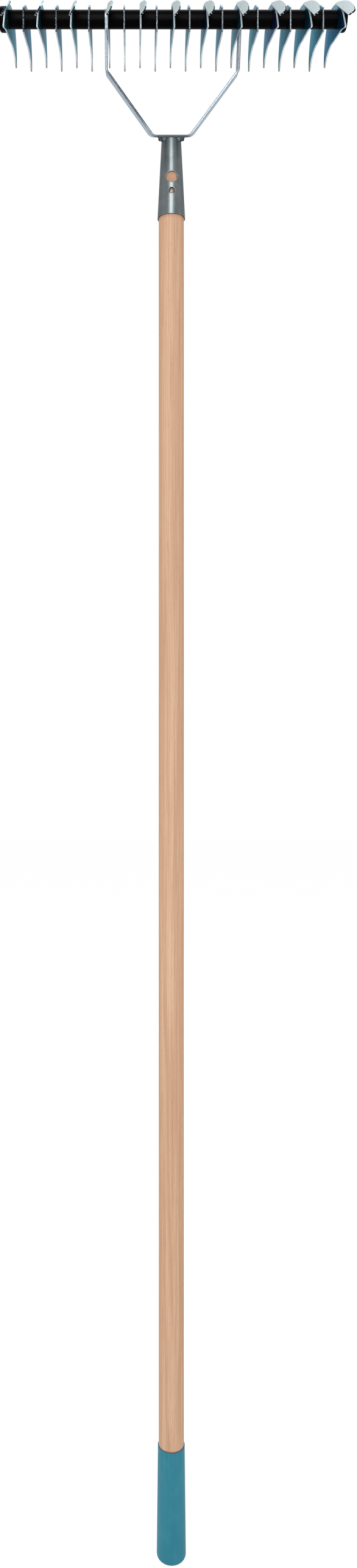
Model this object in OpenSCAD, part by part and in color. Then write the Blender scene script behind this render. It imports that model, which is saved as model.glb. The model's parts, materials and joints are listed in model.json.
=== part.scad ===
// Scarifying rake: a row of half-moon steel blades on a tie rod, carried by a
// bent strip fork on a long wooden handle.
// The origin is the centre of the grip's end face. +Z runs up the handle to the
// head, +X along the row of blades, and +Y the way that the claws point.

/* [Handle] */
// Diameter of the wooden handle
handle_d = 28; // [24:0.5:34]
// Length of bare wood between the grip and the socket
bare_len = 1364; // [900:10:1600]
// Length of wood hidden in the socket
plug_len = 74; // [50:1:80]
// Radius of the rounded edge at the handle's lower end
handle_round = 2; // [1:0.5:4]

/* [Grip] */
// Length of the plastic grip sleeve
grip_len = 125; // [90:1:180]
// Wall of the grip at its open rim
grip_rim_wall = 0.9; // [0.6:0.1:2]
// Wall of the grip near its closed end
grip_end_wall = 2.2; // [1.8:0.1:4]
// Thickness of the grip's closed end
grip_floor = 3; // [2:0.5:6]
// Radius of the rounded corner at the grip's closed end
grip_round = 5; // [2:0.5:8]

/* [Socket] */
// Length of the socket along the handle, up to the fork
socket_len = 91; // [80:1:120]
// Sheet thickness of the rolled socket
socket_wall = 1.3; // [1:0.1:2]
// Outer diameter of the socket where it meets the fork
socket_top_d = 21.4; // [19:0.2:26]
// Width of the seam at the back of the rolled socket
seam_w = 1.2; // [0.6:0.1:2.5]
// Diameter of the large hole in the socket's front
sight_hole_d = 12.8; // [10:0.2:14]
// Height of the large hole above the socket's rim
sight_hole_z = 41.5; // [36:0.5:50]
// Diameter of the small hole in the socket's front, over the screw
screw_hole_d = 7; // [6:0.2:8]
// Height of the small hole above the socket's rim
screw_hole_z = 26; // [15:0.5:28]
// Depth of the flats cut in the wood under both holes
hole_flat_depth = 1.2; // [0.8:0.1:2]
// Diameter of the screw's shank
screw_shank_d = 3.6; // [3:0.1:4.5]
// Length of the screw's shank in the wood
screw_shank_len = 17; // [12:0.5:20]
// Reach of the weld along the socket
weld_leg = 4.2; // [3:0.1:5.5]

/* [Fork] */
// Thickness of the fork's steel strip
strip_t = 2.5; // [2:0.1:4]
// Width of the fork's steel strip
strip_w = 22; // [18:0.5:23]
// Distance from the tie rod's axis to the foot of the fork
fork_reach = 110.6; // [100:0.2:130]
// Straight length of each arm below the tie rod's axis
arm_len = 49; // [42:0.5:52]
// Half-width of the fork's flat foot
foot_half = 21.5; // [18:0.5:30]
// Centre-line radius of the bends
bend_r = 9; // [6:0.5:14]
// Lean of the fork towards the wings' side, in degrees
fork_tilt = 26.5; // [20:0.5:30]
// Twist of the strip on the fork's slopes, in degrees
slope_twist = 6; // [0:0.5:8]
// Gap on each side of an arm
arm_gap = 0.1; // [0.05:0.05:0.3]

/* [Row] */
// Number of blades between the arms, always odd, with a wing blade at each end
inner_count = 9; // [5:4:13]
// Number of blades outside each arm
outer_count = 6; // [2:2:8]
// Length of one spacer tube
spacer_len = 15.8; // [12:0.1:20]
// Outer diameter of the spacer tubes
spacer_d = 18; // [15:0.2:19]
// Diameter of the tie rod
rod_d = 8; // [6:0.5:9]
// Outer diameter of the bush that each arm turns on
bush_d = 12; // [11:0.2:13]
// Running clearance between a bush and its arm, on the radius
bush_fit = 0.05; // [0.02:0.01:0.1]
// Outer diameter of an end cap
cap_d = 24.6; // [22:0.2:25]
// Length of an end cap
cap_len = 8.6; // [8:0.2:12]
// Wall of an end cap
cap_wall = 1.6; // [1.2:0.1:2.4]
// Diameter of a washer
washer_d = 15; // [14:0.2:16]
// Thickness of a washer
washer_t = 1.2; // [0.8:0.1:1.6]
// Height of a nut
nut_h = 4.4; // [4:0.1:5]
// Width of a nut across its flats
nut_flats = 13; // [12:0.5:13]

/* [Blades] */
// Thickness of the blade steel
blade_t = 1.5; // [1.2:0.1:2]
// Distance from the rod's axis to the line along which a wing is bent
fold_offset = 11.6; // [11.4:0.1:13]
// Slope of that line in degrees
fold_slope = 38.5; // [34:0.5:42]
// Angle of a wing to its blade, in degrees
wing_bend = 36; // [25:1:45]
// Depth of a wing from its fold line
wing_depth = 9.4; // [6:0.2:12]
// Radius of a wing's long outer edge
wing_edge_r = 235; // [200:5:280]
// Forward reach of a wing blade's horn from the rod's axis
horn_reach = 62; // [55:0.5:68]
// Radius of the claw's round back
claw_r = 35.2; // [32:0.2:38]
// Distance from the rod's axis back to the claw's centre
claw_back = 44.8; // [40:0.2:50]
// Radius of the claw's hooked inner edge
hook_r = 74; // [65:1:90]
// Radius of the long top edge between a claw and its wing
crown_r = 123; // [110:1:150]
// Angle that the plain claw blades are turned down by, in degrees
claw_droop = 3; // [0:0.5:6]
// Forward reach of a plain claw blade from the rod's axis
claw_front = 12.5; // [11:0.5:16]

/* [Hidden] */
$fn = 96;
cut = 60;
seat = 0.1;
press = 0.02;
bend_lap = 0.25;

handle_r = handle_d / 2;
rim_z = grip_len + bare_len;
foot_z = rim_z + socket_len;
socket_rim_r = handle_r + seat + socket_wall;
socket_top_r = socket_top_d / 2;
socket_slope = (socket_rim_r - socket_top_r) / socket_len;
strip_centre_z = foot_z + strip_t / 2 / cos(fork_tilt);
rod_y = -fork_reach * sin(fork_tilt);
rod_z = strip_centre_z + fork_reach * cos(fork_tilt);
rod_r = rod_d / 2;
hole_r = rod_r + seat;
arm_end_r = strip_w / 2 + 0.1;

// The row of blades and spacers, counted from the left
blade_count = inner_count + 2 * outer_count;
wing_count = (blade_count + 1) / 2;
claw_count = blade_count - wing_count;
spacer_count = blade_count - 1;
pitch = spacer_len + blade_t;
arm_room = strip_t + 2 * arm_gap;
mid = (blade_count - 1) / 2;
first_inner = outer_count;
last_inner = outer_count + inner_count - 1;
function blade_x(i) =
    (i - mid) * pitch + (i < first_inner ? -arm_room : 0) + (i > last_inner ? arm_room : 0);
arm_x = blade_x(last_inner) + blade_t / 2 + arm_room / 2;
end_x = blade_x(blade_count - 1) + blade_t / 2;

// The blade's outline, with the rod's axis at zero
fold_dir = [cos(fold_slope), sin(fold_slope)];
neck = [-horn_reach, (fold_offset - horn_reach * fold_dir[1]) / fold_dir[0]];
claw_c = [claw_back, -1.5];
crown_angle = 105;
crown_c = claw_c - (crown_r - claw_r) * [cos(crown_angle), sin(crown_angle)];
hook_peak = [claw_back + 12, -2];
hook_c = hook_peak - [0, hook_r];
hook_start = [34, -6];
waist = [-22.8, -24.7];
horn_heel = neck + [21, 0.7];
wing_lip = [-8.9, 4.4];
wing_peak_u = 28;
wing_end_u = wing_peak_u + sqrt(pow(wing_edge_r, 2) - pow(wing_edge_r - wing_depth, 2)) - 2;

// Corners of the fork's centre line, seen square to the strip's width
fork_line = [
    [-arm_x, strip_w],
    [-arm_x, -arm_len],
    [-foot_half, -fork_reach],
    [foot_half, -fork_reach],
    [arm_x, -arm_len],
    [arm_x, strip_w]
];
function heading(i) = atan2(
    fork_line[i + 1][1] - fork_line[i][1],
    fork_line[i + 1][0] - fork_line[i][0]
);
bend_steps = 12;
function turn(i) = heading(i) - heading(i - 1);
function trim(i) = (i < 1 || i > len(fork_line) - 2) ? 0 : bend_r * tan(turn(i) / 2);

function two_digits(i) = i < 10 ? str("0", i) : str(i);
function wing_name(i) = str("wing_blade_", two_digits(i + 1));
function claw_name(i) = str("claw_blade_", two_digits(i + 1));
function spacer_name(i) = str("spacer_", two_digits(i + 1));
function side_name(base, s) = str(base, s < 0 ? "_left" : "_right");
SIDES = [-1, 1];

// Turns a flat drawing into a plate across X, with the drawing's x along Y and its y along Z
module plate(t) {
    rotate([90, 0, 90]) linear_extrude(height = t, center = true) children();
}

// Puts children from the rod's own place into the rake
module at_rod() {
    translate([0, rod_y, rod_z]) children();
}

// A cylinder along X between two places
module x_cylinder(r, x0, x1, sides = 96) {
    translate([x0, 0, 0]) rotate([0, 90, 0]) cylinder(r = r, h = x1 - x0, $fn = sides);
}

// A cylinder that runs in from the rake's front to a depth, at a height
module front_cylinder(r, z, depth) {
    translate([0, -depth, z]) rotate([90, 0, 0]) cylinder(r = r, h = cut);
}

// The socket's own cone, thinner by an inset
module socket_cone(inset, h) {
    translate([0, 0, rim_z])
        cylinder(r1 = socket_rim_r - inset, r2 = socket_rim_r - inset - socket_slope * h, h = h);
}

// Distance from the axis to the flat cut in the wood at a height above the rim
function flat_seat(z) = handle_r - socket_slope * z - hole_flat_depth;
sight_seat = flat_seat(sight_hole_z);
screw_seat = flat_seat(screw_hole_z);

module handle() {
    pole_len = rim_z - grip_floor - seat;
    color("burlywood") difference() {
        translate([0, 0, grip_floor + seat]) rotate_extrude() polygon(concat(
            [[0, 0]],
            [for (a = [-90 : 15 : 0])
                [handle_r - handle_round * (1 - cos(a)), handle_round * (1 + sin(a))]],
            [
                [handle_r, pole_len],
                [handle_r - socket_slope * plug_len, pole_len + plug_len],
                [0, pole_len + plug_len]
            ]
        ));
        front_cylinder(sight_hole_d / 2, rim_z + sight_hole_z, sight_seat);
        front_cylinder(screw_hole_d / 2, rim_z + screw_hole_z, screw_seat);
        front_cylinder(screw_shank_d / 2 + press, rim_z + screw_hole_z, screw_seat - screw_shank_len - seat);
    }
}

module grip() {
    end_r = handle_r + grip_end_wall;
    rim_r = handle_r + grip_rim_wall;
    color("teal") difference() {
        rotate_extrude() polygon(concat(
            [[0, 0]],
            [for (a = [-90 : 10 : 0])
                [end_r - grip_round * (1 - cos(a)), grip_round * (1 + sin(a))]],
            [[rim_r, grip_len], [0, grip_len]]
        ));
        translate([0, 0, grip_floor]) cylinder(r = handle_r + press, h = grip_len);
    }
}

// Everything above the underside of the fork's foot
module above_foot() {
    translate([0, 0, foot_z]) rotate([fork_tilt, 0, 0])
        translate([-cut, -cut, 0]) cube([2 * cut, 2 * cut, 2 * cut]);
}

module socket() {
    color("slategray") difference() {
        socket_cone(0, socket_len + socket_top_r);
        socket_cone(socket_wall, socket_len + socket_top_r);
        above_foot();
        translate([-seam_w / 2, 0, rim_z - 1]) cube([seam_w, cut, socket_len - weld_leg]);
        front_cylinder(sight_hole_d / 2, rim_z + sight_hole_z, 0);
        front_cylinder(screw_hole_d / 2, rim_z + screw_hole_z, 0);
    }
}

// A fillet of weld metal round the socket's top, under the fork's foot
module weld_bead() {
    lumps = 14;
    lump_r = 0.43 * weld_leg;
    toe_r = socket_top_r + 0.6;
    color("dimgray") difference() {
        intersection() {
            translate([0, 0, foot_z]) rotate([fork_tilt, 0, 0]) union() {
                translate([0, 0, -weld_leg]) cylinder(r1 = toe_r, r2 = toe_r + weld_leg, h = weld_leg);
                for (k = [0 : lumps - 1]) rotate([0, 0, 360 * k / lumps])
                    translate([toe_r + weld_leg / 3, 0, -weld_leg / 2]) sphere(r = lump_r, $fn = 24);
            }
            translate([0, 0, foot_z]) rotate([fork_tilt, 0, 0])
                cube([2 * cut, strip_w - 1, 2 * cut], center = true);
        }
        socket_cone(0, socket_len + socket_top_r);
        above_foot();
    }
}

module handle_screw() {
    head_r = screw_hole_d / 2 - 0.4;
    head_h = hole_flat_depth + socket_wall;
    slot = [1.1 * head_r, 0.8, 1];
    color("silver") translate([0, -screw_seat, rim_z + screw_hole_z]) rotate([90, 0, 0]) difference() {
        union() {
            translate([0, 0, -screw_shank_len])
                cylinder(r = screw_shank_d / 2, h = screw_shank_len + head_h / 2);
            intersection() {
                cylinder(r = head_r, h = head_h);
                translate([0, 0, head_h - screw_hole_d]) sphere(r = screw_hole_d);
            }
        }
        for (a = [0, 90]) rotate([0, 0, a])
            translate([0, 0, head_h]) cube([slot[0], slot[1], 2 * slot[2]], center = true);
    }
}

// Directions along a heading and to its right
function along(a) = [cos(a), sin(a)];
function right_of(a) = [sin(a), -cos(a)];

// Centre of the bend at a corner of the fork's line
function bend_centre(i) =
    fork_line[i] - trim(i) * along(heading(i - 1)) - bend_r * right_of(heading(i - 1));

// The strip's four corners at a point of the fork's line: outer front, outer back, inner back, inner front
function ring(p, a, twist) = [
    for (c = [[1, -1], [1, 1], [-1, 1], [-1, -1]])
        let (out = c[0] * strip_t / 2 * cos(twist) + c[1] * strip_w / 2 * sin(twist))
        [
            p[0] + out * right_of(a)[0],
            c[1] * strip_w / 2 * cos(twist) - c[0] * strip_t / 2 * sin(twist),
            p[1] + out * right_of(a)[1]
        ]
];

// Twist at a share of the way through a bend: it comes before each slope and goes after it
function bend_twist(i, share) = slope_twist * (i % 2 == 1 ? share : 1 - share);
function bend_ring(i, k) = let (a = heading(i - 1) + turn(i) * k / bend_steps)
    ring(bend_centre(i) + bend_r * right_of(a), a, bend_twist(i, k / bend_steps));
fork_rings = concat(
    [ring(fork_line[0], heading(0), 0)],
    [for (i = [1 : len(fork_line) - 2]) for (k = [0 : bend_steps]) bend_ring(i, k)],
    [ring(fork_line[len(fork_line) - 1], heading(len(fork_line) - 2), 0)]
);

// Side faces between two rings: whole where the strip is straight, else in two halves
function side_faces(k, c) = let (n = 4 * k, d = (c + 1) % 4)
    k % (bend_steps + 1) == 0
        ? [[n + c, n + d, n + 4 + d, n + 4 + c]]
        : [[n + c, n + d, n + 4 + d], [n + c, n + 4 + d, n + 4 + c]];

module strip() {
    last = len(fork_rings) - 1;
    polyhedron(
        points = [for (r = fork_rings) for (corner = r) corner],
        faces = concat(
            [[3, 2, 1, 0], [4 * last, 4 * last + 1, 4 * last + 2, 4 * last + 3]],
            [for (k = [0 : last - 1]) for (c = [0 : 3]) for (f = side_faces(k, c)) f]
        )
    );
}

module fork() {
    color("lightsteelblue") at_rod() rotate([fork_tilt, 0, 0]) difference() {
        intersection() {
            strip();
            union() {
                x_cylinder(arm_end_r, -2 * arm_x, 2 * arm_x);
                translate([-2 * arm_x, -cut, -2 * fork_reach])
                    cube([4 * arm_x, 2 * cut, 2 * fork_reach]);
            }
        }
        x_cylinder(bush_d / 2 + bush_fit, -2 * arm_x, 2 * arm_x);
    }
}

// The half-moon outline that both kinds of blade share, above the fold line too
module moon_2d() {
    difference() {
        union() {
            translate(claw_c) circle(r = claw_r, $fn = 180);
            intersection() {
                translate(crown_c) circle(r = crown_r, $fn = 240);
                translate(claw_c) rotate(crown_angle) translate([-cut, 0]) square([3 * cut, 2 * cut]);
            }
        }
        translate(hook_c) circle(r = hook_r, $fn = 240);
        polygon([
            [neck[0] - cut, neck[1]], neck, horn_heel, waist, hook_start,
            [hook_start[0], -2 * cut], [neck[0] - cut, -2 * cut]
        ]);
    }
}

// Everything below the fold line, or a little past it
module below_fold_2d(past = 0) {
    rotate(fold_slope) translate([-4 * cut, fold_offset + past - 4 * cut])
        square([8 * cut, 4 * cut]);
}

// The bent wing's own outline, along and out from the fold line, starting at the neck
module wing_2d() {
    intersection() {
        translate([wing_peak_u, wing_depth - wing_edge_r]) circle(r = wing_edge_r, $fn = 256);
        polygon([
            [0, 0], wing_lip, [wing_lip[0], 2 * wing_depth], [wing_end_u, 2 * wing_depth],
            [wing_end_u, -bend_lap], [3 * bend_lap, -bend_lap]
        ]);
    }
}

// A claw blade whose front is bent out as a wing
module wing_blade(i) {
    corner_r = 0.48 * blade_t;
    corner_in = 0.57 * blade_t;
    color("lightblue") at_rod() translate([blade_x(2 * i), 0, 0]) {
        difference() {
            plate(blade_t) intersection() {
                moon_2d();
                below_fold_2d(bend_lap);
            }
            x_cylinder(hole_r, -blade_t, blade_t);
        }
        translate([blade_t / 2, neck[0], neck[1]]) rotate([fold_slope, 0, 0]) {
            rotate([0, wing_bend, 0]) translate([-blade_t / 2, 0, 0]) plate(blade_t) wing_2d();
            rotate([0, wing_bend / 2, 0]) translate([-corner_in, blade_t, 0]) rotate([-90, 0, 0])
                cylinder(r = corner_r, h = wing_end_u - 2 * blade_t);
        }
    }
}

// A plain claw blade, cut short in front of the rod
module claw_blade(i) {
    color("steelblue") at_rod() translate([blade_x(2 * i + 1), 0, 0]) difference() {
        plate(blade_t) intersection() {
            rotate(-claw_droop) moon_2d();
            below_fold_2d();
            translate([-claw_front, -2 * cut]) square([4 * cut, 4 * cut]);
        }
        x_cylinder(hole_r, -blade_t, blade_t);
    }
}

module spacer(i) {
    x0 = i < last_inner ? blade_x(i) + blade_t / 2 : blade_x(i + 1) - blade_t / 2 - spacer_len;
    color([0.1, 0.1, 0.11]) at_rod() difference() {
        x_cylinder(spacer_d / 2, x0, x0 + spacer_len);
        x_cylinder(hole_r, x0 - 1, x0 + spacer_len + 1);
    }
}

module pivot_bush(s) {
    x0 = s * arm_x - arm_room / 2;
    color("silver") at_rod() difference() {
        x_cylinder(bush_d / 2, x0, x0 + arm_room);
        x_cylinder(hole_r, x0 - 1, x0 + arm_room + 1);
    }
}

module tie_rod() {
    stub = 0.6;
    rod_half = end_x + washer_t + nut_h + stub;
    color("gray") at_rod() x_cylinder(rod_r, -rod_half, rod_half);
}

// Mirrors children that are drawn for the right end over to the left one
module at_end(s) {
    at_rod() mirror([s < 0 ? 1 : 0, 0, 0]) translate([end_x, 0, 0]) children();
}

module washer(s) {
    color("silver") at_end(s) difference() {
        x_cylinder(washer_d / 2, 0, washer_t);
        x_cylinder(hole_r, -1, washer_t + 1);
    }
}

module end_nut(s) {
    color("gray") at_end(s) difference() {
        x_cylinder(nut_flats / 2 / cos(30), washer_t, washer_t + nut_h, 6);
        x_cylinder(hole_r, 0, washer_t + nut_h + 1);
    }
}

module end_cap(s) {
    rim_in = 1.2;
    rim_h = 0.9;
    dome = 3;
    in_r = washer_d / 2 + 0.3;
    color([0.12, 0.12, 0.13]) at_end(s) rotate([0, 90, 0]) rotate_extrude() polygon(concat(
        [[in_r, 0], [cap_d / 2 - rim_in, 0], [cap_d / 2, rim_h]],
        [for (a = [0 : 15 : 90])
            [cap_d / 2 - dome * (1 - cos(a)), cap_len - dome * (1 - sin(a))]],
        [[0, cap_len], [0, cap_len - cap_wall], [in_r, cap_len - cap_wall]]
    ));
}

handle();
grip();
socket();
fork();
weld_bead();
handle_screw();
tie_rod();
for (i = [0 : wing_count - 1]) wing_blade(i);
for (i = [0 : claw_count - 1]) claw_blade(i);
for (i = [0 : spacer_count - 1]) spacer(i);
for (s = SIDES) {
    pivot_bush(s);
    washer(s);
    end_nut(s);
    end_cap(s);
}
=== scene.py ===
"""Looks of the scarifying rake: materials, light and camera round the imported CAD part."""
import json
import math

import bpy
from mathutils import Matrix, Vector

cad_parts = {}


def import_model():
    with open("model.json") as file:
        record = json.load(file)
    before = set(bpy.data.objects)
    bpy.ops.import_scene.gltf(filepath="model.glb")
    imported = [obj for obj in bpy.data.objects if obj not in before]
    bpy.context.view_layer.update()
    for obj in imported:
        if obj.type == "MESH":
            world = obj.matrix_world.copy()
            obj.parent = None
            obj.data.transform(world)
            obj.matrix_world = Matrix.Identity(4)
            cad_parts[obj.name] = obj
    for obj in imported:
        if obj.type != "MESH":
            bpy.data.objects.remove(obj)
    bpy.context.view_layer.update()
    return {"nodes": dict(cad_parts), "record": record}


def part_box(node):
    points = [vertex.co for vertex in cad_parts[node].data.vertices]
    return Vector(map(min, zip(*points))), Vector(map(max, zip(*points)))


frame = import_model()
NODES = frame["nodes"]
SCENE = bpy.context.scene
SCENE.view_settings.view_transform = "Standard"


def middle_x(name):
    low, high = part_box(name)
    return (low[0] + high[0]) / 2


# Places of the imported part, in metres, and the count of its blades
ROD = Vector(frame["record"]["behaviour"]["joints"][0]["pos_m"])
GRIP_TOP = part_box("grip")[1][2]
RIM_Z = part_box("socket")[0][2]
FOOT_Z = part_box("socket")[1][2]
ROW_START = middle_x("wing_blade_01")
ROW_END = middle_x("wing_blade_11")
BLADES = sum("_blade_" in name for name in NODES)

# Lengths of part.scad that the materials follow, in metres, and two of its angles
ARM_X = 0.0713
ARM_LEN = 0.049
FOOT_HALF = 0.0215
FORK_REACH = 0.1106
FORK_TILT = math.radians(26.5)
FOLD_OFFSET = 0.0116
FOLD_SLOPE = math.radians(38.5)
HORN_REACH = 0.062
CLAW_FRONT = 0.0125


# Node helpers
class Graph:
    """A material's node tree, with short calls for the nodes that this scene uses."""

    def __init__(self, name):
        self.mat = bpy.data.materials.new(name)
        self.mat.use_nodes = True
        self.tree = self.mat.node_tree
        self.tree.nodes.clear()
        out = self.tree.nodes.new("ShaderNodeOutputMaterial")
        self.shader = self.tree.nodes.new("ShaderNodeBsdfPrincipled")
        self.link(self.shader.outputs[0], out.inputs[0])
        place = self.tree.nodes.new("ShaderNodeTexCoord")
        self.obj = place.outputs["Object"]
        self.facing = place.outputs["Normal"]
        self.soft = None

    def link(self, a, b):
        self.tree.links.new(a, b)

    def put(self, socket, value):
        """Link a socket to the value if that is a socket too, else set the value on it."""
        if isinstance(value, bpy.types.NodeSocket):
            self.link(value, socket)
        elif value is not None:
            socket.default_value = value

    def set(self, **values):
        """Give the shader its values, each under its socket's name with _ for a space."""
        for key, value in values.items():
            self.put(self.shader.inputs[key.replace("_", " ")], value)

    def math(self, op, a, b=0.0, clamp=False):
        node = self.tree.nodes.new("ShaderNodeMath")
        node.operation = op
        node.use_clamp = clamp
        self.put(node.inputs[0], a)
        self.put(node.inputs[1], b)
        return node.outputs[0]

    def add(self, a, b, clamp=False):
        return self.math("ADD", a, b, clamp)

    def less(self, a, b):
        return self.math("SUBTRACT", a, b)

    def times(self, a, b, clamp=False):
        return self.math("MULTIPLY", a, b, clamp)

    def most(self, a, b):
        return self.math("MAXIMUM", a, b)

    def size(self, a):
        return self.math("ABSOLUTE", a)

    def span(self, a, b):
        """Length of the line whose two parts are a and b."""
        return self.math("SQRT", self.add(self.math("POWER", a, 2.0), self.math("POWER", b, 2.0)))

    def split(self, vector):
        node = self.tree.nodes.new("ShaderNodeSeparateXYZ")
        self.put(node.inputs[0], vector)
        return node.outputs

    def move(self, vector, shift=(0, 0, 0), scale=(1, 1, 1), turn=(0, 0, 0)):
        node = self.tree.nodes.new("ShaderNodeMapping")
        self.put(node.inputs["Vector"], vector)
        node.inputs["Location"].default_value = shift
        node.inputs["Rotation"].default_value = turn
        node.inputs["Scale"].default_value = scale
        return node.outputs[0]

    def noise(self, vector, scale, detail=3.0, rough=0.5, distort=0.0):
        node = self.tree.nodes.new("ShaderNodeTexNoise")
        self.put(node.inputs["Vector"], vector)
        node.inputs["Scale"].default_value = scale
        node.inputs["Detail"].default_value = detail
        node.inputs["Roughness"].default_value = rough
        node.inputs["Distortion"].default_value = distort
        return node.outputs["Fac"]

    def ramp(self, fac, *stops):
        """A colour ramp whose stops are pairs of a place from 0 to 1 and a colour."""
        node = self.tree.nodes.new("ShaderNodeValToRGB")
        self.put(node.inputs[0], fac)
        elements = node.color_ramp.elements
        while len(elements) < len(stops):
            elements.new(0.5)
        for element, (place, colour) in zip(elements, stops):
            element.position = place
            element.color = colour
        return node.outputs[0]

    def tones(self, fac, *stops):
        """A colour ramp whose stops are a place from 0 to 1 and the three levels of a colour."""
        return self.ramp(fac, *((place, srgb(*levels)) for place, *levels in stops))

    def range(self, value, start, end, low=0.0, high=1.0):
        """The value taken from start..end to low..high, and held at both ends."""
        node = self.tree.nodes.new("ShaderNodeMapRange")
        self.put(node.inputs[0], value)
        for slot, number in zip((1, 2, 3, 4), (start, end, low, high)):
            node.inputs[slot].default_value = number
        return node.outputs[0]

    def mix(self, fac, a, b):
        """Colour a where fac is 0, and colour b where it is 1. Their sockets are 6 and 7."""
        node = self.tree.nodes.new("ShaderNodeMix")
        node.data_type = "RGBA"
        self.put(node.inputs[0], fac)
        self.put(node.inputs[6], a)
        self.put(node.inputs[7], b)
        return node.outputs[2]

    def vivid(self, colour, saturation, value):
        node = self.tree.nodes.new("ShaderNodeHueSaturation")
        node.inputs["Saturation"].default_value = saturation
        node.inputs["Value"].default_value = value
        self.put(node.inputs["Color"], colour)
        return node.outputs[0]

    def soften(self, radius):
        """Round the shading over sharp edges. Every later bump starts from the rounded normal."""
        node = self.tree.nodes.new("ShaderNodeBevel")
        node.samples = 6
        node.inputs["Radius"].default_value = radius
        self.soft = node.outputs[0]

    def edges(self, radius):
        """Soften, and return 1 on a sharp edge and 0 a radius away from it."""
        self.soften(radius)
        plain = self.tree.nodes.new("ShaderNodeNewGeometry")
        dot = self.tree.nodes.new("ShaderNodeVectorMath")
        dot.operation = "DOT_PRODUCT"
        self.link(self.soft, dot.inputs[0])
        self.link(plain.outputs["Normal"], dot.inputs[1])
        return self.range(dot.outputs["Value"], 0.98, 0.8)

    def bump(self, height, distance, strength):
        node = self.tree.nodes.new("ShaderNodeBump")
        self.put(node.inputs["Height"], height)
        self.put(node.inputs["Normal"], self.soft)
        node.inputs["Distance"].default_value = distance
        node.inputs["Strength"].default_value = strength
        self.link(node.outputs[0], self.shader.inputs["Normal"])


def srgb(*levels):
    """A colour as a picture shows it, 0 to 255, in the renderer's own numbers."""
    parts = [level / 255 for level in levels]
    linear = [c / 12.92 if c <= 0.04045 else ((c + 0.055) / 1.055) ** 2.4 for c in parts]
    return (*linear, 1)


def grey(level):
    return (level, level, level, 1)


# Wood and plastic
def growth_lines(g, x, y):
    """Late wood, 0 to 1: rings round a heart outside the pole, which wander along it."""
    sway = g.noise(g.move(g.obj, scale=(1, 1, 0.05)), 55)
    bend = g.times(g.less(sway, 0.5), 0.022)
    heart_x, heart_y = 0.031, -0.024
    ring = g.span(g.add(g.less(x, heart_x), bend), g.add(g.less(y, heart_y), bend))
    rings_per_metre = 380.0
    wave = g.math("FRACT", g.times(ring, rings_per_metre))
    return g.ramp(wave, (0.0, grey(0)), (0.55, grey(0.12)), (0.86, grey(1)), (1.0, grey(0.1)))


def wood():
    """Pale planed pole: growth lines, soft streaks and fine pores, darker at the grip, with painted shade
    below the socket's rim.
    """
    g = Graph("wood")
    x, y, z = g.split(g.obj)
    late = growth_lines(g, x, y)
    streak = g.noise(g.move(g.obj, shift=(0.3, 0.1, 0), scale=(1, 1, 0.02)), 240, rough=0.55, distort=0.6)
    fibre = g.noise(g.move(g.obj, scale=(1, 1, 0.02)), 1900, rough=0.65)
    broad = g.noise(g.move(g.obj, scale=(1, 1, 0.25)), 9, detail=2)
    pore = g.noise(g.move(g.obj, shift=(0.7, 0, 0), scale=(1, 1, 0.035)), 3600, detail=1)
    base = g.tones(streak, (0.36, 220, 183, 152), (0.5, 212, 171, 140), (0.62, 203, 160, 129))
    base = g.mix(g.range(broad, 0.35, 0.65, 0.0, 0.35), base, srgb(200, 157, 126))
    base = g.mix(g.times(late, 0.34), base, srgb(180, 132, 102))
    base = g.mix(g.range(fibre, 0.5, 0.72, 0.0, 0.3), base, srgb(174, 127, 99))
    base = g.mix(g.range(pore, 0.66, 0.74, 0.0, 0.4), base, srgb(152, 108, 84))
    joint = g.range(z, GRIP_TOP + 0.0004, GRIP_TOP + 0.0012, 0.75, 0.0)
    base = g.mix(joint, base, srgb(118, 62, 66))
    # Painted shade: the pole darkens just below the socket's rim.
    rim = g.range(z, RIM_Z - 0.0045, RIM_Z, 0.0, 0.4)
    base = g.mix(rim, base, srgb(150, 104, 82))
    g.set(Base_Color=base, Roughness=g.range(fibre, 0.3, 0.7, 0.52, 0.66), Specular_IOR_Level=0.25)
    g.bump(g.add(g.times(fibre, 0.6), g.times(pore, 0.4)), distance=0.00012, strength=0.5)
    return g.mat


def grip_plastic():
    """Moulded teal sleeve: faint mottling, fine matt grain, and scuffs round its closed end."""
    g = Graph("grip_plastic")
    z = g.split(g.obj)["Z"]
    mottle = g.noise(g.obj, 60)
    flow = g.noise(g.move(g.obj, scale=(1, 1, 0.08)), 210)
    grain = g.noise(g.obj, 2600, detail=2)
    scuff = g.noise(g.move(g.obj, scale=(1, 1, 2.2)), 300, detail=5, rough=0.7, distort=1.2)
    low = g.range(z, 0.0, 0.03, 1.0, 0.25)
    worn = g.times(g.range(scuff, 0.6, 0.72), low, clamp=True)
    base = g.tones(mottle, (0.3, 38, 124, 144), (0.7, 52, 133, 152))
    base = g.mix(g.range(flow, 0.4, 0.7, 0.0, 0.35), base, srgb(30, 114, 135))
    base = g.mix(g.times(worn, 0.35), base, srgb(120, 172, 182))
    g.set(Base_Color=base, Roughness=g.range(mottle, 0.3, 0.7, 0.46, 0.56), Specular_IOR_Level=0.22)
    g.bump(g.add(grain, g.times(scuff, 0.5)), distance=0.00006, strength=0.45)
    return g.mat


def black_plastic():
    """Black tube and caps: drawn lines round them, a little dust, and a painted highlight on their edges.
    """
    g = Graph("black_plastic")
    dust = g.noise(g.obj, 170, detail=5, rough=0.65)
    lines = g.noise(g.move(g.obj, scale=(12, 1, 1)), 140, detail=2)
    base = g.tones(dust, (0.4, 2, 2, 3), (0.66, 5, 5, 7), (0.8, 20, 22, 24))
    # Painted highlight: sharp edges lightened to grey.
    rim = g.edges(0.0005)
    base = g.mix(g.times(rim, 0.5), base, srgb(44, 46, 50))
    g.set(Base_Color=base, Roughness=g.range(dust, 0.3, 0.7, 0.3, 0.42), Specular_IOR_Level=0.09, IOR=1.2)
    g.bump(g.add(lines, g.times(dust, 0.4)), distance=0.00003, strength=0.3)
    return g.mat


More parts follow.
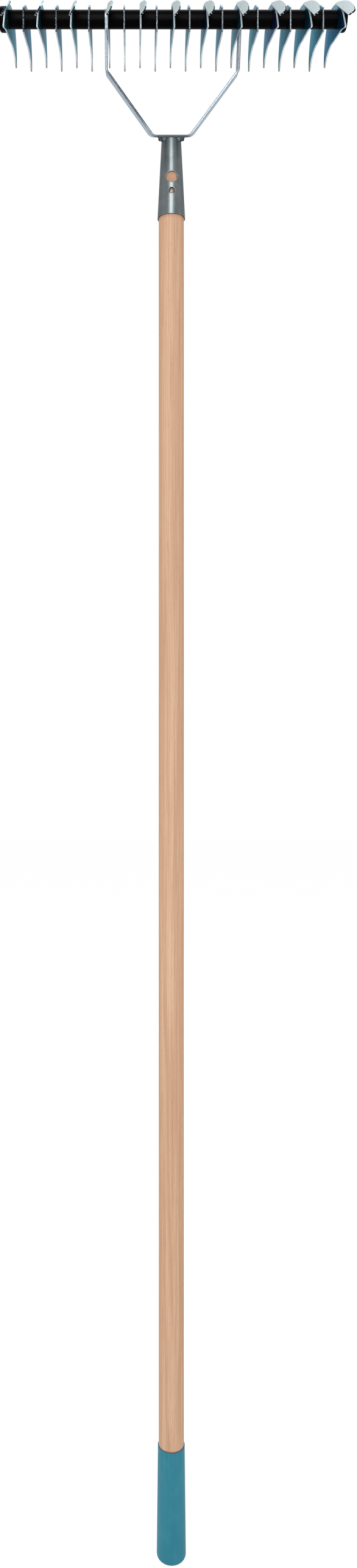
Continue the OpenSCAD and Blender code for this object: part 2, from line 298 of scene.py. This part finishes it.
# Steel of the socket, weld and fixings
def socket_steel():
    """Rolled sheet with dull zinc: drawn lines, grey clouds, bright rims that are worn and carry a painted
    highlight, darker near the weld.
    """
    g = Graph("socket_steel")
    z = g.split(g.obj)["Z"]
    cloud = g.noise(g.obj, 60, detail=4, rough=0.6, distort=0.8)
    drawn = g.noise(g.move(g.obj, scale=(1, 1, 0.03)), 900, detail=4, rough=0.65)
    fine = g.noise(g.obj, 1500, rough=0.6)
    base = g.tones(cloud, (0.3, 86, 93, 97), (0.5, 98, 105, 107), (0.7, 107, 112, 112))
    base = g.mix(g.range(drawn, 0.42, 0.68, 0.0, 0.3), base, srgb(76, 82, 86))
    heat = g.times(g.range(z, FOOT_Z - 0.03, FOOT_Z - 0.016), g.range(cloud, 0.4, 0.6, 0.4, 1.0))
    base = g.mix(g.times(heat, 0.55), base, srgb(62, 76, 76))
    # Bright rims: wear, and a painted highlight.
    rim = g.edges(0.0006)
    base = g.mix(g.times(rim, 0.7), base, srgb(168, 174, 176))
    g.set(Base_Color=base, Metallic=1.0, Roughness=g.range(drawn, 0.3, 0.7, 0.25, 0.36))
    g.set(Specular_Tint=(0.4, 0.42, 0.44, 1), Coat_Weight=0.35, Coat_Roughness=0.22)
    g.bump(g.add(g.times(drawn, 0.6), g.times(fine, 0.4)), distance=0.00004, strength=0.35)
    return g.mat


def weld_steel():
    """Weld metal left as welded: dark, lumpy, slightly green."""
    g = Graph("weld_steel")
    ripple = g.noise(g.obj, 330, detail=5, rough=0.65, distort=0.6)
    spatter = g.noise(g.obj, 1300, rough=0.6)
    base = g.tones(ripple, (0.32, 54, 63, 65), (0.55, 76, 85, 87), (0.72, 104, 110, 109))
    base = g.mix(g.range(spatter, 0.6, 0.72, 0.0, 0.5), base, srgb(150, 140, 122))
    g.set(Base_Color=base, Metallic=0.85, Roughness=g.range(ripple, 0.3, 0.7, 0.42, 0.6))
    g.set(Specular_Tint=(0.5, 0.52, 0.5, 1))
    g.bump(g.add(ripple, g.times(spatter, 0.3)), distance=0.0009, strength=0.8)
    return g.mat


def fixing_steel(name, dark, light):
    """Plated steel of small parts: soft clouds between two tones, and brighter edges."""
    g = Graph(name)
    cloud = g.noise(g.obj, 120, detail=4, rough=0.6, distort=0.6)
    fine = g.noise(g.obj, 1500, rough=0.6)
    base = g.ramp(cloud, (0.3, dark), (0.7, light))
    base = g.mix(g.times(g.edges(0.0003), 0.5), base, srgb(206, 206, 204))
    g.set(Base_Color=base, Metallic=1.0, Roughness=g.range(fine, 0.3, 0.7, 0.26, 0.38))
    g.set(Specular_Tint=(0.6, 0.6, 0.6, 1))
    g.bump(fine, distance=0.00004, strength=0.3)
    return g.mat


# Steel of the fork
def fork_edge(g, x, down, across):
    """The strip's narrow edges, with painted reflection: grey, but dark behind, at the foot and on the left
    slope's inner half.

    The right slope's outer half is a darker grey. Their light and dark speckles are painted glints.
    """
    # Painted glints: light and dark speckles along the edges.
    glint = g.noise(g.obj, 1500, rough=0.7, distort=0.5)
    dark = g.tones(glint, (0.42, 34, 38, 42), (0.6, 62, 68, 74), (0.74, 130, 136, 142))
    light = g.tones(glint, (0.4, 76, 83, 89), (0.56, 96, 103, 109), (0.72, 124, 130, 136))
    # Painted reflection: where the edges are pale and where they are dark.
    run, rise = ARM_X - FOOT_HALF, FORK_REACH - ARM_LEN
    length = math.hypot(run, rise)
    out = g.times(g.less(ARM_X, g.size(x)), rise / length)
    inner = g.add(out, g.times(g.add(down, ARM_LEN), run / length))
    outer_half = g.range(inner, 0.0005, 0.0001)
    arms = g.range(down, -ARM_LEN - 0.001, -ARM_LEN + 0.002)
    bends = g.range(down, -FORK_REACH + 0.0166, -FORK_REACH + 0.0076)
    ends = g.most(arms, bends)
    pale = g.most(g.range(x, -0.01, 0.01), g.most(ends, outer_half))
    front = g.range(across, 0.1, -0.1)
    edge = g.mix(g.times(pale, front), dark, light)
    right = g.times(g.range(x, 0.01, 0.03, 0.0, 0.35), g.less(outer_half, ends), clamp=True)
    edge = g.mix(right, edge, srgb(46, 52, 55))
    foot = g.times(g.range(g.size(x), 0.024, 0.016), g.range(down, -0.09, -0.1))
    return g.mix(g.times(foot, 0.8), edge, srgb(36, 42, 44))


def fork_steel():
    """Bright zinc on strip steel: pale blue faces, painted shade on the arms' sides near the rod, and edges
    with painted glints.
    """
    g = Graph("fork_steel")
    x, y, z = g.split(g.obj)
    nx, ny, nz = g.split(g.facing)
    cloud = g.noise(g.obj, 45, detail=4, rough=0.6, distort=0.6)
    fine = g.noise(g.obj, 1300, rough=0.6)
    drawn = g.noise(g.move(g.obj, scale=(1, 0.1, 1)), 500, rough=0.6)
    base = g.tones(cloud, (0.3, 170, 184, 193), (0.5, 186, 199, 206), (0.7, 197, 207, 212))
    base = g.mix(g.range(drawn, 0.45, 0.7, 0.0, 0.3), base, srgb(150, 166, 178))
    # Painted shade: the arms' sides darker and bluer near the rod.
    high = g.range(z, ROD.z - 0.105, ROD.z - 0.055)
    side = g.range(g.size(nx), 0.8, 0.95)
    base = g.mix(g.times(g.times(high, side), 0.75), base, srgb(88, 106, 132))
    above = g.less(z, ROD.z)
    behind = g.less(y, ROD.y)
    cos, sin = math.cos(FORK_TILT), math.sin(FORK_TILT)
    down = g.less(g.times(above, cos), g.times(behind, sin))
    across = g.add(g.times(ny, cos), g.times(nz, sin))
    narrow = g.range(g.size(across), 0.6, 0.8)
    base = g.mix(narrow, base, fork_edge(g, x, down, across))
    g.soften(0.0011)
    g.set(Base_Color=base, Metallic=1.0, Roughness=g.range(fine, 0.3, 0.7, 0.24, 0.34))
    g.set(Specular_Tint=(0.6, 0.66, 0.73, 1))
    g.bump(fine, distance=0.00004, strength=0.3)
    return g.mat


# Steel of the blades: the tints that the photograph shows on them, round to the first again
FILM = [
    (0.0, 98, 140, 146),
    (0.2, 32, 104, 134),
    (0.36, 56, 88, 98),
    (0.5, 56, 100, 110),
    (0.64, 100, 130, 154),
    (0.735, 92, 80, 130),
    (0.82, 34, 88, 118),
    (1.0, 98, 140, 146),
]
# Share of the tints between one blade and the next: after fifteen blades they start again
FILM_STEP = 0.7333
# Levels of bare bright zinc
BARE = (240, 243, 245)


class BladePlaces:
    """Where a point of a blade lies, and the noises that all parts of the blade share.

    Faces that look away from the middle of the row are outward, and those that look to it inward.
    """

    def __init__(self, g):
        x, y, z = g.split(g.obj)
        nx, ny, nz = g.split(g.facing)
        self.row = g.range(x, ROW_START, ROW_END)
        self.behind = g.less(y, ROD.y)
        self.above = g.less(z, ROD.z)
        self.hub = g.span(self.behind, self.above)
        fold = g.less(g.times(self.above, math.cos(FOLD_SLOPE)), g.times(self.behind, math.sin(FOLD_SLOPE)))
        self.wing = g.range(fold, FOLD_OFFSET - 0.0004, FOLD_OFFSET + 0.0006)
        self.tip = g.times(g.range(self.hub, 0.066, 0.08, 0.0, 0.8), g.range(self.above, 0.012, 0.0))
        side = g.times(nx, x)
        self.outward = g.range(side, 0.0, 0.02)
        self.inward = g.range(side, 0.0, -0.02)
        self.flat = g.range(g.size(nx), 0.58, 0.7)
        self.upward = g.range(g.add(ny, nz), 0.1, 0.4)
        self.cloud = g.noise(g.move(g.obj, scale=(2.0, 1, 1)), 30, rough=0.55, distort=0.8)
        shifted = g.move(g.obj, shift=(0.2, 0.4, 0.1), scale=(1.5, 1, 1))
        self.veil = g.noise(shifted, 70, detail=4, rough=0.6, distort=1.0)
        self.brush = g.noise(g.move(g.obj, turn=(0.7, 0, 0), scale=(1, 0.06, 1)), 900, rough=0.6)
        self.fine = g.noise(g.obj, 1400, rough=0.6)
        uneven = g.range(self.cloud, 0.3, 0.7, -0.3, 0.3)
        self.reach = g.add(g.range(self.behind, 0.004, 0.062), uneven, clamp=True)


def film_colour(g, at):
    """The film's own colour: it steps from blade to blade, drifts over each one and greys to the left."""
    plate = g.math("ROUND", g.times(at.row, BLADES - 1.0))
    drift = g.add(g.times(at.reach, 0.06), g.range(at.cloud, 0.3, 0.7, -0.03, 0.03))
    tone = g.math("FRACT", g.add(g.times(plate, FILM_STEP), g.add(drift, 1.0)))
    return g.mix(g.range(at.row, 0.0, 1.0, 0.35, 0.0), g.tones(tone, *FILM), srgb(126, 142, 150))


def plate_colour(g, at, film):
    """A blade's flat faces: vivid near the rod, paler to the rear, painted shade round the hub, dark at the
    tip.

    Inward faces have a patch of painted shade in front of the rod and a painted highlight as a bright
    crown, and outward ones are greyer.
    """
    near = g.vivid(film, 1.7, 1.0)
    far = g.vivid(g.mix(0.45, film, srgb(160, 184, 192)), 1.5, 1.08)
    base = g.mix(at.reach, near, far)
    base = g.mix(g.range(at.veil, 0.54, 0.76, 0.0, 0.35), base, srgb(160, 192, 206))
    base = g.mix(g.range(at.veil, 0.46, 0.28, 0.0, 0.3), base, srgb(34, 74, 104))
    # Painted shade: a soft dark ring round the hub.
    base = g.mix(g.range(at.hub, 0.034, 0.02, 0.0, 0.25), base, srgb(14, 24, 32))
    brushed = g.mix(g.range(at.brush, 0.4, 0.7), srgb(150, 168, 180), srgb(172, 184, 190))
    base = g.mix(g.times(at.outward, 0.5), base, brushed)
    # Painted shade between the plates, on inward faces in front of the rod.
    shade = g.times(g.range(at.hub, 0.056, 0.03, 0.0, 0.65), g.range(at.behind, -0.002, -0.01))
    base = g.mix(g.times(shade, at.inward), base, srgb(8, 14, 20))
    # Painted highlight: a bright crown on the inward faces' tops.
    crown = g.times(g.range(at.above, 0.006, 0.012, 0.0, 0.85), g.range(at.behind, 0.04, 0.02))
    base = g.mix(g.times(crown, at.inward), base, g.mix(0.25, srgb(226, 232, 240), film))
    rear = g.times(g.range(at.behind, 0.045, 0.066, 0.0, 0.4), g.range(at.above, 0.002, 0.016))
    base = g.mix(rear, base, srgb(176, 204, 220))
    return g.mix(at.tip, base, srgb(66, 82, 88))


def wing_colour(g, at, film):
    """A bent wing: pale and slightly warm, a painted reflection of bright light, with a breath of the film
    and fine brushing.
    """
    # Painted reflection: the wing's pale, warm tint, which changes along the row.
    pale = g.tones(at.row, (0.0, 240, 234, 218), (0.45, 255, 242, 224), (1.0, 236, 218, 206))
    pale = g.mix(0.1, pale, film)
    pale = g.mix(g.range(at.cloud, 0.47, 0.6, 0.0, 0.3), pale, srgb(226, 216, 214))
    pale = g.mix(g.range(at.veil, 0.4, 0.7, 0.0, 0.35), pale, srgb(200, 208, 214))
    return g.mix(g.range(at.brush, 0.45, 0.7, 0.0, 0.2), pale, srgb(208, 200, 194))


def blunt_front(g, at):
    """The cut front of a claw blade, a painted reflection: nearly black on the left of the row, grey on the
    right.
    """
    # Painted reflection: dark cut fronts on the left of the row, grey ones on the right.
    dark_reflection = g.tones(at.fine, (0.4, 14, 17, 19), (0.56, 46, 50, 54), (0.7, 130, 136, 140))
    bright = g.tones(at.fine, (0.4, 56, 60, 64), (0.56, 104, 109, 114), (0.7, 160, 165, 170))
    return g.mix(at.row, dark_reflection, bright)


def cut_colour(g, at, blunt):
    """Sheared edges: bright bare metal in front, partly a painted highlight, dark at the tip, a painted
    dark reflection on the wing's front end, worn on top and behind.

    The wing's front end has one painted glint, halfway along.
    """
    cut = g.tones(at.fine, (0.38, 190, 196, 200), (0.52, 226, 231, 234), (0.68, *BARE))
    if blunt:
        foremost = g.range(at.behind, 0.0017 - CLAW_FRONT, 0.0011 - CLAW_FRONT)
        front = g.times(foremost, g.range(at.above, -0.0235, -0.0225))
        cut = g.mix(front, cut, blunt_front(g, at))
    cut = g.mix(at.tip, cut, srgb(84, 92, 96))
    # Painted reflection: the wing's front end dark.
    ahead = g.range(at.behind, -HORN_REACH + 0.0008, -HORN_REACH)
    cut = g.mix(g.times(at.wing, ahead), cut, srgb(26, 28, 32))
    # Painted glint: one bright spot on the wing's front end.
    glint_behind, glint_above, glint_r = -0.0674, -0.0361, 0.0009
    from_glint = g.span(g.less(at.behind, glint_behind), g.less(at.above, glint_above))
    cut = g.mix(g.range(from_glint, glint_r, glint_r - 0.0003), cut, srgb(250, 250, 250))
    worn = g.tones(at.fine, (0.38, 70, 78, 83), (0.52, 102, 110, 115), (0.68, 158, 164, 168))
    return g.mix(at.upward, cut, worn)


def blade_steel(name, blunt):
    """Bright zinc with a coloured film: each plate has its own tint, and its sheared edges are bare."""
    g = Graph(name)
    at = BladePlaces(g)
    film = film_colour(g, at)
    face = g.mix(at.wing, plate_colour(g, at, film), wing_colour(g, at, film))
    base = g.mix(at.flat, cut_colour(g, at, blunt), face)
    # Lighter along sharp edges: bare zinc, and partly a painted highlight.
    base = g.mix(g.times(g.edges(0.0002), 0.2), base, srgb(*BARE))
    g.set(Base_Color=base, Metallic=0.7, Roughness=g.range(at.fine, 0.3, 0.7, 0.24, 0.34))
    g.set(Specular_IOR_Level=0.0, Specular_Tint=(0.2, 0.4, 0.5, 1))
    g.bump(g.add(g.times(at.brush, 0.5), g.times(at.fine, 0.5)), distance=0.00004, strength=0.25)
    return g.mat


def dress():
    """Give every node its look: one of its own, one of its series, or its material slot's."""
    looks = {
        "wood": wood(),
        "grip_plastic": grip_plastic(),
        "socket_steel": socket_steel(),
        "fork_steel": fork_steel(),
        "weld_steel": weld_steel(),
        "blade_steel": blade_steel("wing_blade_steel", blunt=False),
        "claw_blade": blade_steel("claw_blade_steel", blunt=True),
        "handle_screw": fixing_steel("screw_steel", srgb(78, 70, 66), srgb(118, 104, 96)),
        "black_plastic": black_plastic(),
        "fixing_steel": fixing_steel("fixing_steel", srgb(150, 152, 152), srgb(188, 188, 184)),
    }
    slots = {part["node"]: part["material_slot"] for part in frame["record"]["subparts"]}
    for name, node in NODES.items():
        series = name.rstrip("_0123456789")
        look = looks.get(name) or looks.get(series) or looks[slots[name]]
        for slot in node.material_slots:
            slot.link = "OBJECT"
            slot.material = look


# Stage, light and camera
def add(name, data):
    thing = bpy.data.objects.new(name, data)
    SCENE.collection.objects.link(thing)
    return thing


def shader(tree, kind, colour, strength=None):
    """The output of a new shader node with this colour, and this strength if it has one."""
    node = tree.nodes.new(kind)
    node.inputs[0].default_value = colour
    if strength is not None:
        node.inputs[1].default_value = strength
    return node.outputs[0]


def seen_by(tree, *kinds):
    """1 for a ray of one of these kinds."""
    path = tree.nodes.new("ShaderNodeLightPath")
    seen = path.outputs[kinds[0]]
    for kind in kinds[1:]:
        most = tree.nodes.new("ShaderNodeMath")
        most.operation = "MAXIMUM"
        tree.links.new(seen, most.inputs[0])
        tree.links.new(path.outputs[kind], most.inputs[1])
        seen = most.outputs[0]
    return seen


def blend_out(tree, kind, share, plain, white):
    """End a tree of this output kind in the plain shader, mixed with the white one by share."""
    both = tree.nodes.new("ShaderNodeMixShader")
    for slot, source in enumerate((share, plain, white)):
        tree.links.new(source, both.inputs[slot])
    out = tree.nodes.new(kind)
    tree.links.new(both.outputs[0], out.inputs[0])


def floor():
    """A pale matt floor, which the camera and glossy rays see nearly white."""
    far, near, wide = 6.0, -3.0, 5.0
    mesh = bpy.data.meshes.new("floor")
    corners = [(-wide, near, 0), (wide, near, 0), (wide, far, 0), (-wide, far, 0)]
    mesh.from_pydata(corners, [], [(0, 1, 2, 3)])
    thing = add("floor", mesh)
    mat = bpy.data.materials.new("floor")
    mat.use_nodes = True
    tree = mat.node_tree
    tree.nodes.clear()
    share = tree.nodes.new("ShaderNodeMath")
    share.operation = "MULTIPLY"
    share.inputs[1].default_value = 0.85
    tree.links.new(seen_by(tree, "Is Camera Ray", "Is Glossy Ray"), share.inputs[0])
    matt = shader(tree, "ShaderNodeBsdfDiffuse", grey(0.86))
    glow = shader(tree, "ShaderNodeEmission", grey(1), 1.09)
    blend_out(tree, "ShaderNodeOutputMaterial", share.outputs[0], matt, glow)
    mesh.materials.append(mat)


def world():
    """Half light all round, which camera, glossy and transmission rays see white."""
    sky = bpy.data.worlds.new("studio")
    SCENE.world = sky
    sky.use_nodes = True
    tree = sky.node_tree
    tree.nodes.clear()
    seen = seen_by(tree, "Is Camera Ray", "Is Glossy Ray", "Is Transmission Ray")
    fill = shader(tree, "ShaderNodeBackground", grey(1), 0.5)
    white = shader(tree, "ShaderNodeBackground", grey(1), 1.0)
    blend_out(tree, "ShaderNodeOutputWorld", seen, fill, white)


def lamp(name, place, aim, size, watts, diffuse=True, glossy=True):
    data = bpy.data.lights.new(name, "AREA")
    data.shape = "RECTANGLE"
    data.size, data.size_y = size
    data.energy = watts
    thing = add(name, data)
    thing.location = place
    thing.rotation_euler = (Vector(aim) - Vector(place)).to_track_quat("-Z", "Y").to_euler()
    thing.visible_diffuse = diffuse
    thing.visible_glossy = glossy


def lamps():
    """Two soft lamps in front, one of them for gloss alone, and one each left, right, above and behind."""
    lamp("key", (-0.2, -2.5, 1.5), (-0.2, 0, 1.5), (0.6, 2.4), 26)
    lamp("sheen", (-0.12, -2.6, 2.0), (-0.12, 0, 2.0), (1.5, 2.6), 74, diffuse=False)
    lamp("left", (-2.3, -1.0, 1.4), (0, 0, 1.1), (0.9, 2.0), 14)
    lamp("right", (2.3, -0.9, 1.4), (0, 0, 1.1), (0.9, 2.0), 12)
    lamp("top", (0, 0.6, 3.3), (0, 0, 1.2), (1.4, 1.4), 12)
    lamp("back", (0.3, 2.6, 1.6), (0, 0, 1.1), (1.2, 2.2), 16, glossy=False)


def camera():
    """The photograph's camera: level and near, with its optical centre off the middle of the frame."""
    focal_px, width, height = 1778.0, 586.0, 2576.0
    centre_x, centre_y = 219.5, 1145.0
    data = bpy.data.cameras.new("camera")
    data.sensor_fit = "VERTICAL"
    data.sensor_height = 36.0
    data.lens = focal_px / height * data.sensor_height
    data.shift_x = (width / 2 - centre_x) / height
    data.shift_y = (centre_y - height / 2) / height
    data.clip_start, data.clip_end = 0.05, 50.0
    thing = add("camera", data)
    thing.location = (-0.0418, -1.205, 0.957)
    thing.rotation_euler = (math.pi / 2, 0, 0)
    SCENE.camera = thing


dress()
floor()
world()
lamps()
camera()
